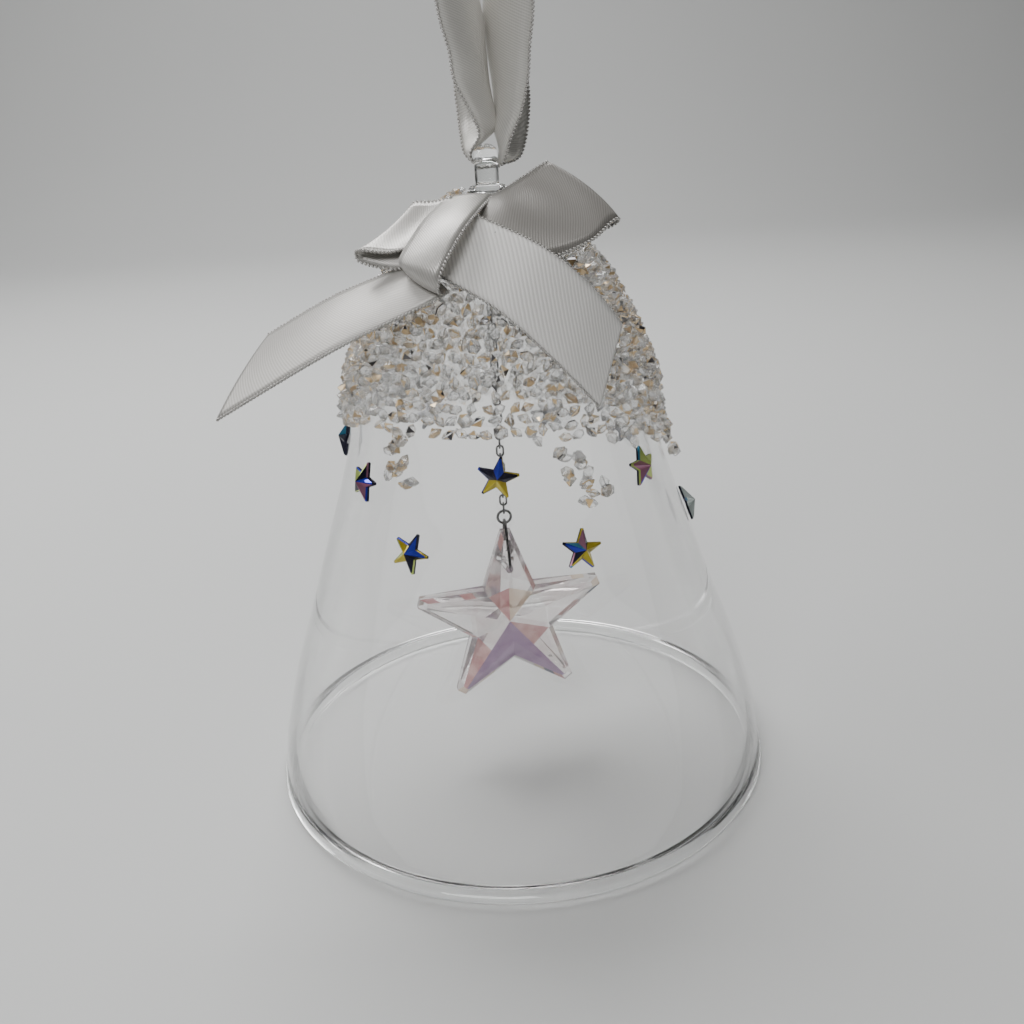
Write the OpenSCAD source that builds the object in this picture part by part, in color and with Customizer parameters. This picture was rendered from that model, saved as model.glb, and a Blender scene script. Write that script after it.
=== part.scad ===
// Glass bell ornament: a blown bell with a crystal-covered dome, a ribbon bow and hanging loop,
// and a star clapper on a cable chain. Origin: centre of the mouth, in the plane the rim stands on.
// +Z is up, and -Y is the front, the side that the tails of the bow fall on.

/* [Bell] */
// Outside diameter of the mouth, over the rim bead
mouth_d = 76; // [72:1:80]
// Thickness of the glass wall
wall = 1.3; // [1:0.1:1.5]
// Diameter of the fire-polished bead around the rim
bead_d = 2.3; // [2:0.1:2.5]

/* [Crystals] */
// Diameter of one crystal of the dome's covering
crystal_d = 2.2; // [1.8:0.1:2.3]
// Distance between neighbouring crystals
crystal_pitch = 2.6; // [2.5:0.1:3.2]
// Tip radius of one small star glued to the skirt
small_star_r = 2.85; // [2.4:0.05:3]

/* [Clapper] */
// Number of links in the chain, an even number
links = 30; // [26:2:34]
// Tip radius of the hanging star
star_r = 14.7; // [12:0.1:16]
// Half the thickness of the hanging star at its middle
star_half = 4.2; // [3:0.1:5]
// Turn of the hanging star and its ring and bail about the vertical
star_turn = 9.5; // [0:0.5:20]

/* [Ribbon] */
// Thickness of the ribbon's plain solids
ribbon_t = 0.4; // [0.3:0.05:0.5]

/* [Hidden] */

$fn = 72;
girth = mouth_d / 76;

// ---- wall of the bell ----
crown_z = 86;
crown_flat_r = 3;
bead_r = bead_d / 2;
bead_x = mouth_d / 2 - bead_r;
// A rim bead sunk this far stands on a narrow flat ring
foot_cut = 0.04;
bead_z = bead_r - foot_cut;
neck_z = 2;
// Control points [radius, height] up the outside of the wall
WALL_POINTS = [[bead_x + wall / 2, neck_z], [36.75 * girth, 8], [34 * girth, 18], [30.4 * girth, 28],
    [27 * girth, 38], [23.9 * girth, 47], [22.2 * girth, 53], [21.1 * girth, 59], [19.4 * girth, 65],
    [16.7 * girth, 71], [12.6 * girth, 77.5], [7.4 * girth, 83], [crown_flat_r, crown_z]];

function curve_point(a, b, c, d, t) =
    0.5 * (2 * b + (c - a) * t + (2 * a - 5 * b + 4 * c - d) * t * t + (3 * b - a - 3 * c + d) * t * t * t);
function smooth(p, steps) = [
    for (i = [0:len(p) - 2], j = [0:steps - 1])
        curve_point(p[max(i - 1, 0)], p[i], p[i + 1], p[min(i + 2, len(p) - 1)], j / steps),
    p[len(p) - 1]];
function unit(v) = v / norm(v);
function tangent(p, i) = unit(p[min(i + 1, len(p) - 1)] - p[max(i - 1, 0)]);
function outward(p, i) = [tangent(p, i)[1], -tangent(p, i)[0]];
function shifted(p, d) = [for (i = [0:len(p) - 1]) p[i] + d * outward(p, i)];
function reversed(p) = [for (i = [len(p) - 1:-1:0]) p[i]];

WALL = smooth(WALL_POINTS, 3);
HEIGHTS = [for (p = WALL) [p[1], p[0]]];
INNER_WALL = [for (p = shifted(WALL, -wall)) if (p[1] > neck_z) p];
inner_crown_z = INNER_WALL[len(INNER_WALL) - 1][1];
function wall_r(z) = lookup(z, HEIGHTS);
// Angle by which the wall leans in from the vertical at a height
function lean(z) = atan2(wall_r(z - 1) - wall_r(z + 1), 2);

// ---- crystals ----
bed_t = 0.35;
bed_bottom_z = 59;
crystal_half_h = 0.95;
crystal_seat = 0.12;
SLOPE = [for (p = reversed(WALL)) if (p[1] > 48) p];
STEPS = [for (i = [1:len(SLOPE) - 1]) norm(SLOPE[i] - SLOPE[i - 1])];
function sum_to(v, n) = n <= 0 ? 0 : v[n - 1] + sum_to(v, n - 1);
ALONG = [for (i = [0:len(SLOPE) - 1]) [sum_to(STEPS, i), SLOPE[i][1]]];
row_pitch = crystal_pitch * 0.88;
rows = floor((ALONG[len(ALONG) - 1][0] - 1) / row_pitch);
function row_z(k) = lookup(1 + k * row_pitch, ALONG);
// The covering ends higher at the front and the left than at the back and the right
function fringe_z(az) = 55.6 + 4.4 * cos(az) - 2.2 * sin(az);
shoulder_top_z = 76;
fringe_low_z = 49;
fringe_gap = 0.02;
// Single crystals that hang below the fringe: [height, azimuth from the front]
DRIPS = [[59.2, -36], [57.2, -40], [56.2, -34], [54.6, -39], [53.4, -33], [56.6, 19], [55.6, 26], [54.2, 20],
    [53, 27], [51.6, 33], [50.6, 26], [51.6, 87], [50.6, 94], [49, 88]];

// ---- small stars on the skirt: [height, azimuth from the front, turn] ----
SKIRT_STARS = [[53.5, -92, 15], [51.6, -55.6, 10], [54.5, -2.4, 12], [51.7, 53.2, 3], [40, 91, 8],
    [44.5, -31, 20], [44.4, 21.6, 11], [47, 128, 5], [48, 162, 14], [50, -150, 9]];
small_star_h = 1.7;
small_star_notch = 0.42;
small_star_edge = 0.35;
// Film of glue under a star, which spans the wall's flare
small_star_gap = 0.1;

// ---- hanging eye and inner hook ----
collar_h = 1.6;
collar_r = 2.75;
eye_r = 2.1;
eye_rod = [1.1, 1.6];
eye_arch_z = crown_z + collar_h + 2;
chain_x = -0.6;
hook_rod_r = 0.55;
hook_r = 1.55;
hook_pad = [2.3, 0.5];
hook_wire_z = 80.5;
hook_arch_z = hook_wire_z + hook_r;

// ---- chain ----
play = 0.04;
ring_wire_r = 0.2;
top_ring_r = 1.15;
top_ring_z = hook_wire_z + hook_rod_r + ring_wire_r + play - top_ring_r;
link_wire_r = 0.15;
link_r = 0.475;
chain_top_z = top_ring_z - top_ring_r + ring_wire_r + link_wire_r + play;
jump_ring_r = 1;
jump_ring_z = 39.8;
chain_bottom_z = jump_ring_z + jump_ring_r - ring_wire_r - link_wire_r - play;
link_hang = 2 * link_wire_r + play;
link_pitch = (chain_top_z - chain_bottom_z - link_hang) / links;
// Whole micrometres, so that the straight runs of a link meet its half rings face to face
link_straight = round(1000 * ((link_pitch + link_hang) / 2 - link_r)) / 1000;
upper_links = 2 * floor(links / 4);

// ---- bail and star ----
bail_wire_r = 0.22;
bail_r = 0.62;
bail_top_z = jump_ring_z - jump_ring_r + ring_wire_r + bail_wire_r + play;
bail_z = bail_top_z - bail_r;
prong_z = 32.6;
prong_y = 2.75;
prong_gap = 0.5;
star_hole_r = 0.65;
star_hole_z = prong_z - (star_hole_r - bail_wire_r - play);
star_tip_z = 37.7;
star_tip_half = 0.45;
star_notch_half = 1;
star_notch = 0.45;

// ---- ribbon: pairs of points on its two edges, front edge first ----
LOOP_EDGES = [
    [[-1, -5.2, 127.6], [-1, 5.2, 127.6]], [[-4.2, -5, 124], [-3.2, 5, 124]],
    [[-5, -4.8, 117], [-1.4, 4.9, 117]], [[-4.8, -4.6, 110], [0, 4.6, 110]], [[-4.6, -3.8, 102], [-0.3, 4.2, 102]],
    [[-3.9, -2.2, 95.5], [-1.8, 2.6, 95.5]], [[-2.4, -0.8, 91.4], [-2.2, 0.8, 91.4]],
    [[-1.2, -0.6, 89.9], [-1.2, 0.6, 89.9]], [[0, -0.6, 89.7], [0, 0.6, 89.7]],
    [[1.2, -0.6, 89.9], [1.2, 0.6, 89.9]], [[3.2, -1.2, 91], [2.4, 0.9, 91.6]],
    [[6, -3, 95], [2.9, 2.6, 96.5]], [[6.4, -3.8, 102], [2, 4.2, 102]],
    [[7, -4.4, 110], [1.6, 4.6, 110]], [[7, -4.8, 117], [3.4, 4.9, 117]], [[6.2, -5, 124], [5.2, 5, 124]],
    [[3, -5.2, 127.6], [3, 5.2, 127.6]]];
LEFT_TAIL_EDGES = [[[-8.2, -16.6, 75.8], [-12.2, -10.4, 79]], [[-20.4, -18.2, 71], [-20.6, -9.8, 76]],
    [[-35.5, -19, 63.4], [-29.5, -9.6, 71.6]]];
RIGHT_TAIL_EDGES = [[[-6, -14.2, 78.4], [-0.6, -9.6, 84.4]], [[0.6, -18.4, 74.8], [6.4, -13.6, 81.2]],
    [[7.4, -20.8, 68.4], [12, -14.4, 76.4]], [[12.3, -20.6, 62.6], [16, -13.4, 71]]];
LEFT_LOOP_EDGES = [[[-12.6, -11, 81], [-7.2, -4.8, 86]], [[-16.4, -10.6, 81.8], [-9.4, -4.4, 86.4]],
    [[-17, -10, 81.2], [-10, -4, 85.8]], [[-16.4, -10, 80.2], [-9.6, -3.8, 85]],
    [[-13.4, -10.8, 80], [-8.6, -5, 84.6]]];
RIGHT_LOOP_EDGES = [[[3, -10.6, 84], [1.2, -4.4, 88]], [[7.6, -12.4, 82.4], [3, -4.4, 88.4]],
    [[12, -12.4, 82], [5, -4.4, 89]], [[15.6, -10.2, 83.8], [7.8, -4.2, 90.2]],
    [[16.2, -9.4, 83.2], [8.2, -4, 89.6]], [[14.6, -9, 81.8], [7.4, -4, 88.4]],
    [[9.6, -9.8, 81], [4.6, -4.4, 87]]];
KNOT_EDGES = [[[-3.8, -5, 87], [1, -4, 87.2]], [[-7.6, -7.8, 84.8], [-3, -12.4, 84.2]],
    [[-11.4, -12.2, 81.2], [-6, -16, 80.6]], [[-11.6, -12.6, 80], [-6.8, -16.8, 78.2]]];

// ---- shapes that repeat ----
module wall_shell(inner, outer) {
    rotate_extrude() polygon(concat(outer, reversed(inner)));
}

// A torus arc in the XZ plane, round the origin
module arc(ring_r, wire_r, angle = 360) {
    rotate([90, 0, 0]) rotate_extrude(angle = angle, $fn = 32) translate([ring_r, 0]) circle(wire_r, $fn = 16);
}

module rod(from, to, r) {
    run = to - from;
    translate(from)
        rotate([0, acos(run[2] / norm(run)), atan2(run[1], run[0])])
            cylinder(h = norm(run), r = r, $fn = 16);
}

// A link in the XZ plane, hung by the middle of its top wire
module link() {
    for (side = [-1, 1])
        translate([side * link_r, 0, -link_r - 2 * link_straight])
            cylinder(h = 2 * link_straight, r = link_wire_r, $fn = 16);
    translate([0, 0, -link_r]) arc(link_r, link_wire_r, 180);
    translate([0, 0, -link_r - 2 * link_straight]) rotate([0, 180, 0]) arc(link_r, link_wire_r, 180);
}

module link_run(first, last) {
    for (i = [first:last])
        translate([chain_x, 0, chain_top_z - i * link_pitch]) rotate([0, 0, i % 2 * 90]) link();
}

// One crystal: a bicone of flat facets, standing on the origin along +Z
module crystal() {
    points = [[0, 0, 0], for (a = [0:90:270]) [crystal_d / 2 * cos(a), crystal_d / 2 * sin(a), crystal_half_h],
        [0, 0, 2 * crystal_half_h]];
    polyhedron(points, [for (i = [0:3], top = [0, 1]) top == 1 ? [5, 1 + (i + 1) % 4, 1 + i]
        : [0, 1 + i, 1 + (i + 1) % 4]]);
}

// Puts its children on the wall at a height and an azimuth, with +Z out of the wall
module on_wall(z, az, gap = 0) {
    rotate([0, 0, az - 90]) translate([wall_r(z), 0, z]) rotate([0, 90 - lean(z), 0]) translate([0, 0, gap])
        children();
}

module crystal_rows(low_z, high_z, gap) {
    for (k = [0:rows]) {
        z = row_z(k);
        count = floor(2 * PI * (wall_r(z) + 1) / crystal_pitch);
        for (i = [0:count - 1]) {
            az = (i + k % 2 / 2) * 360 / count;
            if (z > low_z && z <= high_z && z > fringe_z(az))
                on_wall(z, az, gap) rotate([0, 0, 37 * i]) crystal();
        }
    }
}

// A star with a pointed front and either a pointed or a flat back, in the XZ plane
module star(r, notch, tip_half, notch_half, front, back) {
    outline = [for (i = [0:9]) let (a = 90 + 36 * i, s = i % 2 == 0 ? 1 : notch) [s * r * cos(a), s * r * sin(a)]];
    half = [for (i = [0:9]) i % 2 == 0 ? tip_half : notch_half];
    points = concat([[0, -front, 0]], [for (i = [0:9]) [outline[i][0], -half[i], outline[i][1]]],
        [for (i = [0:9]) [outline[i][0], min(back, half[i]), outline[i][1]]], [[0, back, 0]]);
    faces = concat([for (i = [0:9]) [0, 1 + (i + 1) % 10, 1 + i]],
        [for (i = [0:9]) [1 + i, 1 + (i + 1) % 10, 11 + (i + 1) % 10]],
        [for (i = [0:9]) [1 + i, 11 + (i + 1) % 10, 11 + i]],
        [for (i = [0:9]) [21, 11 + i, 11 + (i + 1) % 10]]);
    polyhedron(points, faces);
}

// A flat strip through pairs of edge points, closed into a ring where it is a loop
module strip(edges, t = ribbon_t, ring = false) {
    n = len(edges);
    mid = [for (e = edges) (e[0] + e[1]) / 2];
    ahead = [for (i = [0:n - 1]) ring ? mid[(i + 1) % n] - mid[(i + n - 1) % n]
        : mid[min(i + 1, n - 1)] - mid[max(i - 1, 0)]];
    face = [for (i = [0:n - 1]) unit(cross(ahead[i], edges[i][1] - edges[i][0])) * t / 2];
    points = [for (i = [0:n - 1], p = [edges[i][0] + face[i], edges[i][1] + face[i], edges[i][1] - face[i],
        edges[i][0] - face[i]]) p];
    sides = [for (i = [0:(ring ? n - 1 : n - 2)], k = [0:3], half = [0, 1])
        let (a = 4 * i + k, b = 4 * i + (k + 1) % 4, c = 4 * ((i + 1) % n) + (k + 1) % 4, d = 4 * ((i + 1) % n) + k)
            half == 0 ? [a, b, c] : [a, c, d]];
    ends = ring ? [] : [[3, 2, 1], [3, 1, 0], [4 * n - 4, 4 * n - 3, 4 * n - 2], [4 * n - 4, 4 * n - 2, 4 * n - 1]];
    polyhedron(points, concat(sides, ends));
}

// ---- sub-parts ----
module glass_bell() {
    outer = concat(WALL, [[0, crown_z]]);
    inner = concat(INNER_WALL, [[0, inner_crown_z]]);
    // From the inner face of the wall, round under the rim, to the outer face
    bead = [for (a = [45:-15:-225]) if (a != -90) [bead_x - bead_r * cos(a), max(0, bead_z + bead_r * sin(a))]];
    color("aliceblue", 0.4)
        rotate_extrude() polygon(concat(outer, reversed(inner), bead));
}

module crown_collar() {
    color("aliceblue", 0.6)
        translate([0, 0, crown_z]) rotate_extrude($fn = 48)
            polygon(concat([[0, 0]], [for (a = [-60:20:60])
                [collar_r - 0.8 + 0.8 * cos(a), collar_h / 2 * (1 + sin(a) / sin(60))]], [[0, collar_h]]));
}

module hanging_eye() {
    section = [for (a = [0:15:345]) [eye_rod[0] * cos(a), eye_rod[1] * sin(a)]];
    color("aliceblue", 0.6) {
        translate([0, 0, eye_arch_z]) rotate([90, 0, 90])
            rotate_extrude(angle = 180, $fn = 48) translate([eye_r, 0]) polygon(section);
        for (side = [-1, 1])
            translate([0, side * eye_r, crown_z + collar_h]) rotate([0, 0, 90])
                linear_extrude(eye_arch_z - crown_z - collar_h) polygon(section);
    }
}

module inner_hook() {
    color("aliceblue", 0.6) translate([chain_x, 0, 0]) {
        translate([0, 0, hook_arch_z]) rotate([0, 180, 0]) arc(hook_r, hook_rod_r, 180);
        for (side = [-1, 1])
            translate([side * hook_r, 0, hook_arch_z])
                cylinder(h = inner_crown_z - hook_arch_z - hook_pad[1], r = hook_rod_r, $fn = 16);
        translate([-chain_x, 0, inner_crown_z - hook_pad[1]])
            cylinder(h = hook_pad[1], r = hook_pad[0], $fn = 32);
    }
}

module adhesive_bed() {
    skin = [for (p = WALL) if (p[1] > bed_bottom_z && p[0] > crown_flat_r) p];
    color("gainsboro", 0.5)
        wall_shell(skin, [for (i = [0:len(skin) - 1]) skin[i] + bed_t * outward(skin, i)]);
}

module crown_crystals() {
    color("white") crystal_rows(shoulder_top_z, crown_z - 0.6, bed_t - crystal_seat);
}

module shoulder_crystals() {
    color("gainsboro") crystal_rows(bed_bottom_z, shoulder_top_z, bed_t - crystal_seat);
}

module fringe_crystals() {
    color("white") {
        crystal_rows(fringe_low_z, bed_bottom_z, fringe_gap);
        for (d = DRIPS)
            on_wall(d[0], d[1], fringe_gap) rotate([0, 0, 23 * d[1]]) crystal();
    }
}

module skirt_stars() {
    color("darkslateblue")
        for (s = SKIRT_STARS)
            on_wall(s[0], s[1], small_star_gap) rotate([0, 0, -s[2]]) rotate([0, 180, 0]) rotate([90, 0, 90])
                star(small_star_r, small_star_notch, small_star_edge, small_star_edge, small_star_h, 0);
}

module top_ring() {
    color("dimgray")
        translate([chain_x, 0, top_ring_z]) rotate([0, 0, 90]) arc(top_ring_r, ring_wire_r);
}

module upper_chain() {
    color("dimgray") link_run(0, upper_links - 1);
}

module lower_chain() {
    color("dimgray") link_run(upper_links, links - 1);
}

module jump_ring() {
    color("dimgray")
        translate([chain_x, 0, jump_ring_z]) rotate([0, 0, star_turn]) arc(jump_ring_r, ring_wire_r);
}

module pinch_bail() {
    color("dimgray")
        translate([chain_x, 0, 0]) rotate([0, 0, star_turn + 90]) {
            translate([0, 0, bail_z]) arc(bail_r, bail_wire_r, 180);
            for (side = [-1, 1]) {
                rod([side * bail_r, 0, bail_z], [side * prong_y, 0, prong_z], bail_wire_r);
                translate([side * prong_y, 0, prong_z]) sphere(bail_wire_r, $fn = 16);
                rod([side * prong_y, 0, prong_z], [side * prong_gap, 0, prong_z], bail_wire_r);
            }
        }
}

module star_clapper() {
    color("plum")
        translate([chain_x, 0, 0]) rotate([0, 0, star_turn])
            difference() {
                translate([0, 0, star_tip_z - star_r])
                    star(star_r, star_notch, star_tip_half, star_notch_half, star_half, star_half);
                translate([0, 0, star_hole_z]) rotate([90, 0, 0])
                    cylinder(h = 2 * star_half, r = star_hole_r, center = true, $fn = 32);
            }
}

module hanging_ribbon() {
    color("silver") strip(LOOP_EDGES, ring = true);
}

module bow_knot() {
    color("whitesmoke") strip(KNOT_EDGES);
}

module bow_left_loop() {
    color("whitesmoke") strip(LEFT_LOOP_EDGES);
}

module bow_right_loop() {
    color("silver") strip(RIGHT_LOOP_EDGES);
}

module bow_left_tail() {
    color("lightgray") strip(LEFT_TAIL_EDGES);
}

module bow_right_tail() {
    color("lightgray") strip(RIGHT_TAIL_EDGES);
}

glass_bell();
crown_collar();
hanging_eye();
inner_hook();
adhesive_bed();
crown_crystals();
shoulder_crystals();
fringe_crystals();
skirt_stars();
top_ring();
upper_chain();
lower_chain();
jump_ring();
pinch_bail();
star_clapper();
hanging_ribbon();
bow_knot();
bow_left_loop();
bow_right_loop();
bow_left_tail();
bow_right_tail();
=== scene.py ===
"""A blown glass bell ornament: crystal-covered dome, satin bow, star clapper on a chain.

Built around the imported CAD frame. Lengths named in this script are in millimetres unless they say so;
MM turns them into Blender's metres. The camera stands at the front, -Y.
"""
import math
import random

import bmesh
import bpy
from mathutils import Euler, Matrix, Vector


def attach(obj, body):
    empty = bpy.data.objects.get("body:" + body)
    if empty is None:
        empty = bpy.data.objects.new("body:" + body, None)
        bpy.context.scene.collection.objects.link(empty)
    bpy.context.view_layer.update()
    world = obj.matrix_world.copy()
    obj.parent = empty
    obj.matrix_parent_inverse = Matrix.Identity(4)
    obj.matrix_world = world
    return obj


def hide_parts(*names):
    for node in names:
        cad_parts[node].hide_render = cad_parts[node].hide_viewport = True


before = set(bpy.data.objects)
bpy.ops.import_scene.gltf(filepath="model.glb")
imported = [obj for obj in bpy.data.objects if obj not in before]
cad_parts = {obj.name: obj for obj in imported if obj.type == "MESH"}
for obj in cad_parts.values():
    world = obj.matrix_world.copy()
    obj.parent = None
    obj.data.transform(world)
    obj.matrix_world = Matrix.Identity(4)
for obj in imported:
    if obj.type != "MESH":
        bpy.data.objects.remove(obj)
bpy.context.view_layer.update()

MM = 0.001
SEED = 7

# ---------------------------------------------------------------- camera

CAMERA_PLACE = Vector((0.6, -150.9, 104.1))
CAMERA_PITCH = 22.86
CAMERA_ROLL = -3.5
CAMERA_LENS = 38.67

camera = bpy.data.objects.new("camera", bpy.data.cameras.new("camera"))
bpy.context.collection.objects.link(camera)
camera.data.lens = CAMERA_LENS
camera.data.sensor_width = 36
camera.data.clip_start = 0.005
camera.matrix_world = (
    Matrix.Translation(CAMERA_PLACE * MM)
    @ Matrix.Rotation(math.radians(90 - CAMERA_PITCH), 4, "X")
    @ Matrix.Rotation(math.radians(CAMERA_ROLL), 4, "Z")
)
bpy.context.scene.camera = camera

# ---------------------------------------------------------------- the shapes' driving sizes

MOUTH_R = 38
WALL = 1.3
BEAD_R = 1.15
FOOT_CUT = 0.04
# Height over which the bead swells out of the wall
SWELL_H = 1.5
CROWN_Z = 86
# Up the outside of the wall: [radius, height]
WALL_POINTS = [
    (37.5, 2), (36.75, 8), (34, 18), (30.4, 28), (27, 38), (23.9, 47), (22.2, 53), (21.1, 59),
    (19.4, 65), (16.7, 71), (12.6, 77.5), (7.4, 83), (3, 86),
]
CHAIN_X = -0.6
STAR_TURN = 9.5


# ---------------------------------------------------------------- small tools


def around(start, stop, step):
    """Angles in radians, from steps in whole degrees."""
    return [math.radians(a) for a in range(start, stop, step)]


def curve_point(a, b, c, d, t):
    """A point between b and c on a smooth curve through a, b, c and d."""
    return 0.5 * (2 * b + (c - a) * t + (2 * a - 5 * b + 4 * c - d) * t * t + (3 * b - a - 3 * c + d) * t**3)


def smooth_line(points, steps, ring=False):
    """Points along a smooth curve through the given ones, with steps between each two."""
    points = [Vector(p) for p in points]
    n = len(points)
    pick = (lambda i: points[i % n]) if ring else (lambda i: points[min(max(i, 0), n - 1)])
    spans = n if ring else n - 1
    line = [
        curve_point(pick(i - 1), pick(i), pick(i + 1), pick(i + 2), j / steps)
        for i in range(spans)
        for j in range(steps)
    ]
    return line if ring else line + [points[-1]]


def new_piece(name, points, faces, materials, face_material=None, smooth=True):
    """A mesh object from points in millimetres."""
    mesh = bpy.data.meshes.new(name)
    mesh.from_pydata([Vector(p) * MM for p in points], [], faces)
    for material in materials:
        mesh.materials.append(material)
    if face_material:
        mesh.polygons.foreach_set("material_index", face_material)
    mesh.polygons.foreach_set("use_smooth", [smooth] * len(mesh.polygons))
    mesh.validate()
    piece = bpy.data.objects.new(name, mesh)
    bpy.context.collection.objects.link(piece)
    return piece


def outward_normals(piece):
    """Turns a closed piece's faces to point out."""
    bm = bmesh.new()
    bm.from_mesh(piece.data)
    bmesh.ops.recalc_face_normals(bm, faces=bm.faces)
    bm.to_mesh(piece.data)
    bm.free()


class Shape:
    """Points and faces gathered from several small solids, for one mesh."""

    def __init__(self):
        self.points, self.faces, self.kinds = [], [], []

    def add(self, points, faces, kinds=None):
        first = len(self.points)
        self.points += list(points)
        self.faces += [[first + i for i in face] for face in faces]
        self.kinds += kinds or [0] * len(faces)

    def piece(self, name, materials, smooth=False):
        return new_piece(name, self.points, self.faces, materials, self.kinds, smooth)


def revolve(profile, segments, wobble=lambda angle, z: 0):
    """Points and faces of a closed outline turned about the Z axis. Points on the axis are shared."""
    points, rows = [], []
    for r, z in profile:
        if r < 1e-6:
            rows.append([len(points)] * segments)
            points.append(Vector((0, 0, z)))
            continue
        rows.append(list(range(len(points), len(points) + segments)))
        for k in range(segments):
            a = 2 * math.pi * k / segments
            radius = r + wobble(a, z)
            points.append(Vector((radius * math.cos(a), radius * math.sin(a), z)))
    faces = []
    for i, low in enumerate(rows):
        high = rows[(i + 1) % len(rows)]
        for k in range(segments):
            j = (k + 1) % segments
            corners = [low[k], low[j], high[j], high[k]]
            face = [c for n, c in enumerate(corners) if c not in corners[:n]]
            if len(face) > 2:
                faces.append(face)
    return points, faces


def tube(line, radius, sides=10, ring=False):
    """Points and faces of a round wire along a line, closed at its ends or into a ring."""
    line = [Vector(p) for p in line]
    n = len(line)
    tangents = []
    for i in range(n):
        before = line[(i - 1) % n] if ring else line[max(i - 1, 0)]
        after = line[(i + 1) % n] if ring else line[min(i + 1, n - 1)]
        tangents.append((after - before).normalized())
    side = tangents[0].orthogonal().normalized()
    points = []
    for p, t in zip(line, tangents):
        side = (side - side.dot(t) * t).normalized()
        up = t.cross(side)
        for k in range(sides):
            a = 2 * math.pi * k / sides
            points.append(p + radius * (math.cos(a) * side + math.sin(a) * up))
    faces = []
    for i in range(n if ring else n - 1):
        j = (i + 1) % n
        for k in range(sides):
            m = (k + 1) % sides
            faces.append([i * sides + k, i * sides + m, j * sides + m, j * sides + k])
    if not ring:
        faces += [list(range(sides))[::-1], list(range((n - 1) * sides, n * sides))]
    return points, faces


# ---------------------------------------------------------------- materials


def new_material(name, **values):
    """A Principled material with the named sockets set, and its nodes, links and shader."""
    material = bpy.data.materials.new(name)
    material.use_nodes = True
    nodes, links = material.node_tree.nodes, material.node_tree.links
    shader = nodes["Principled BSDF"]
    for key, value in values.items():
        shader.inputs[key.replace("_", " ")].default_value = value
    return material, nodes, links, shader


def add_node(nodes, kind, **inputs):
    node = nodes.new(kind)
    for key, value in inputs.items():
        node.inputs[key.replace("_", " ")].default_value = value
    return node


def add_bump(nodes, links, shader, height, strength, distance):
    bump = add_node(nodes, "ShaderNodeBump", Strength=strength, Distance=distance * MM)
    links.new(height, bump.inputs["Height"])
    links.new(bump.outputs["Normal"], shader.inputs["Normal"])


def colour_ramp(nodes, links, factor, stops):
    ramp = nodes.new("ShaderNodeValToRGB")
    ramp.color_ramp.elements[0].position, ramp.color_ramp.elements[0].color = stops[0][0], (*stops[0][1], 1)
    ramp.color_ramp.elements[1].position, ramp.color_ramp.elements[1].color = stops[-1][0], (*stops[-1][1], 1)
    for position, colour in stops[1:-1]:
        ramp.color_ramp.elements.new(position).color = (*colour, 1)
    links.new(factor, ramp.inputs["Fac"])
    return ramp.outputs["Color"]


def noise(nodes, links, scale, detail=3.0):
    """Soft noise over the object, with scale in waves per metre."""
    place = nodes.new("ShaderNodeTexCoord")
    texture = add_node(nodes, "ShaderNodeTexNoise", Scale=scale, Detail=detail)
    links.new(place.outputs["Object"], texture.inputs["Vector"])
    return texture.outputs["Fac"]


def blown_glass(name, ior, low, high, thin=False):
    """Clear glass with the faint ripple of hand-blown work; a thin wall lets most light straight through."""
    material, nodes, links, shader = new_material(name, Roughness=0.0, IOR=ior, Transmission_Weight=1.0)
    if thin:
        slant = nodes.new("ShaderNodeLayerWeight")
        slant.inputs["Blend"].default_value = 0.5
        body = [(0.0, (0.05, 0.05, 0.05)), (0.55, (0.12, 0.12, 0.12)), (0.9, (0.9, 0.9, 0.9))]
        links.new(colour_ramp(nodes, links, slant.outputs["Facing"], body), shader.inputs["Alpha"])
    tint = colour_ramp(nodes, links, noise(nodes, links, 60), [(0.3, low), (0.7, high)])
    links.new(tint, shader.inputs["Base Color"])
    add_bump(nodes, links, shader, noise(nodes, links, 140, 2.0), 0.12, 0.25)
    return material


def clear_adhesive():
    """The cloudy clear glue that the crystals sit in."""
    material, nodes, links, shader = new_material(
        "clear_adhesive", Roughness=0.1, IOR=1.12, Transmission_Weight=1.0, Alpha=0.3
    )
    cloud = [(0.3, (0.97, 0.97, 0.96)), (0.7, (1.0, 1.0, 1.0))]
    links.new(colour_ramp(nodes, links, noise(nodes, links, 900), cloud), shader.inputs["Base Color"])
    add_bump(nodes, links, shader, noise(nodes, links, 1800), 0.3, 0.05)
    return material


def cut_crystal(name, low, high, **values):
    """Polished crystal whose colour drifts between two tints from stone to stone."""
    material, nodes, links, shader = new_material(name, Roughness=0.02, IOR=1.48, **values)
    tint = colour_ramp(nodes, links, noise(nodes, links, 420, 1.0), [(0.35, low), (0.65, high)])
    links.new(tint, shader.inputs["Base Color"])
    return material


def gunmetal():
    """Dark plated wire, a little worn along its runs."""
    material, nodes, links, shader = new_material("gunmetal", Metallic=1.0)
    wear = noise(nodes, links, 2600, 4.0)
    shades = [(0.35, (0.045, 0.043, 0.045)), (0.7, (0.16, 0.155, 0.15))]
    links.new(colour_ramp(nodes, links, wear, shades), shader.inputs["Base Color"])
    rough = add_node(nodes, "ShaderNodeMapRange", To_Min=0.2, To_Max=0.42)
    links.new(wear, rough.inputs["Value"])
    links.new(rough.outputs["Result"], shader.inputs["Roughness"])
    add_bump(nodes, links, shader, wear, 0.25, 0.03)
    return material


# A wave texture at a scale of 1 repeats over this length of its input
WAVE_SPAN = math.pi / 10
THREAD_PITCH = 0.17


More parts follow.
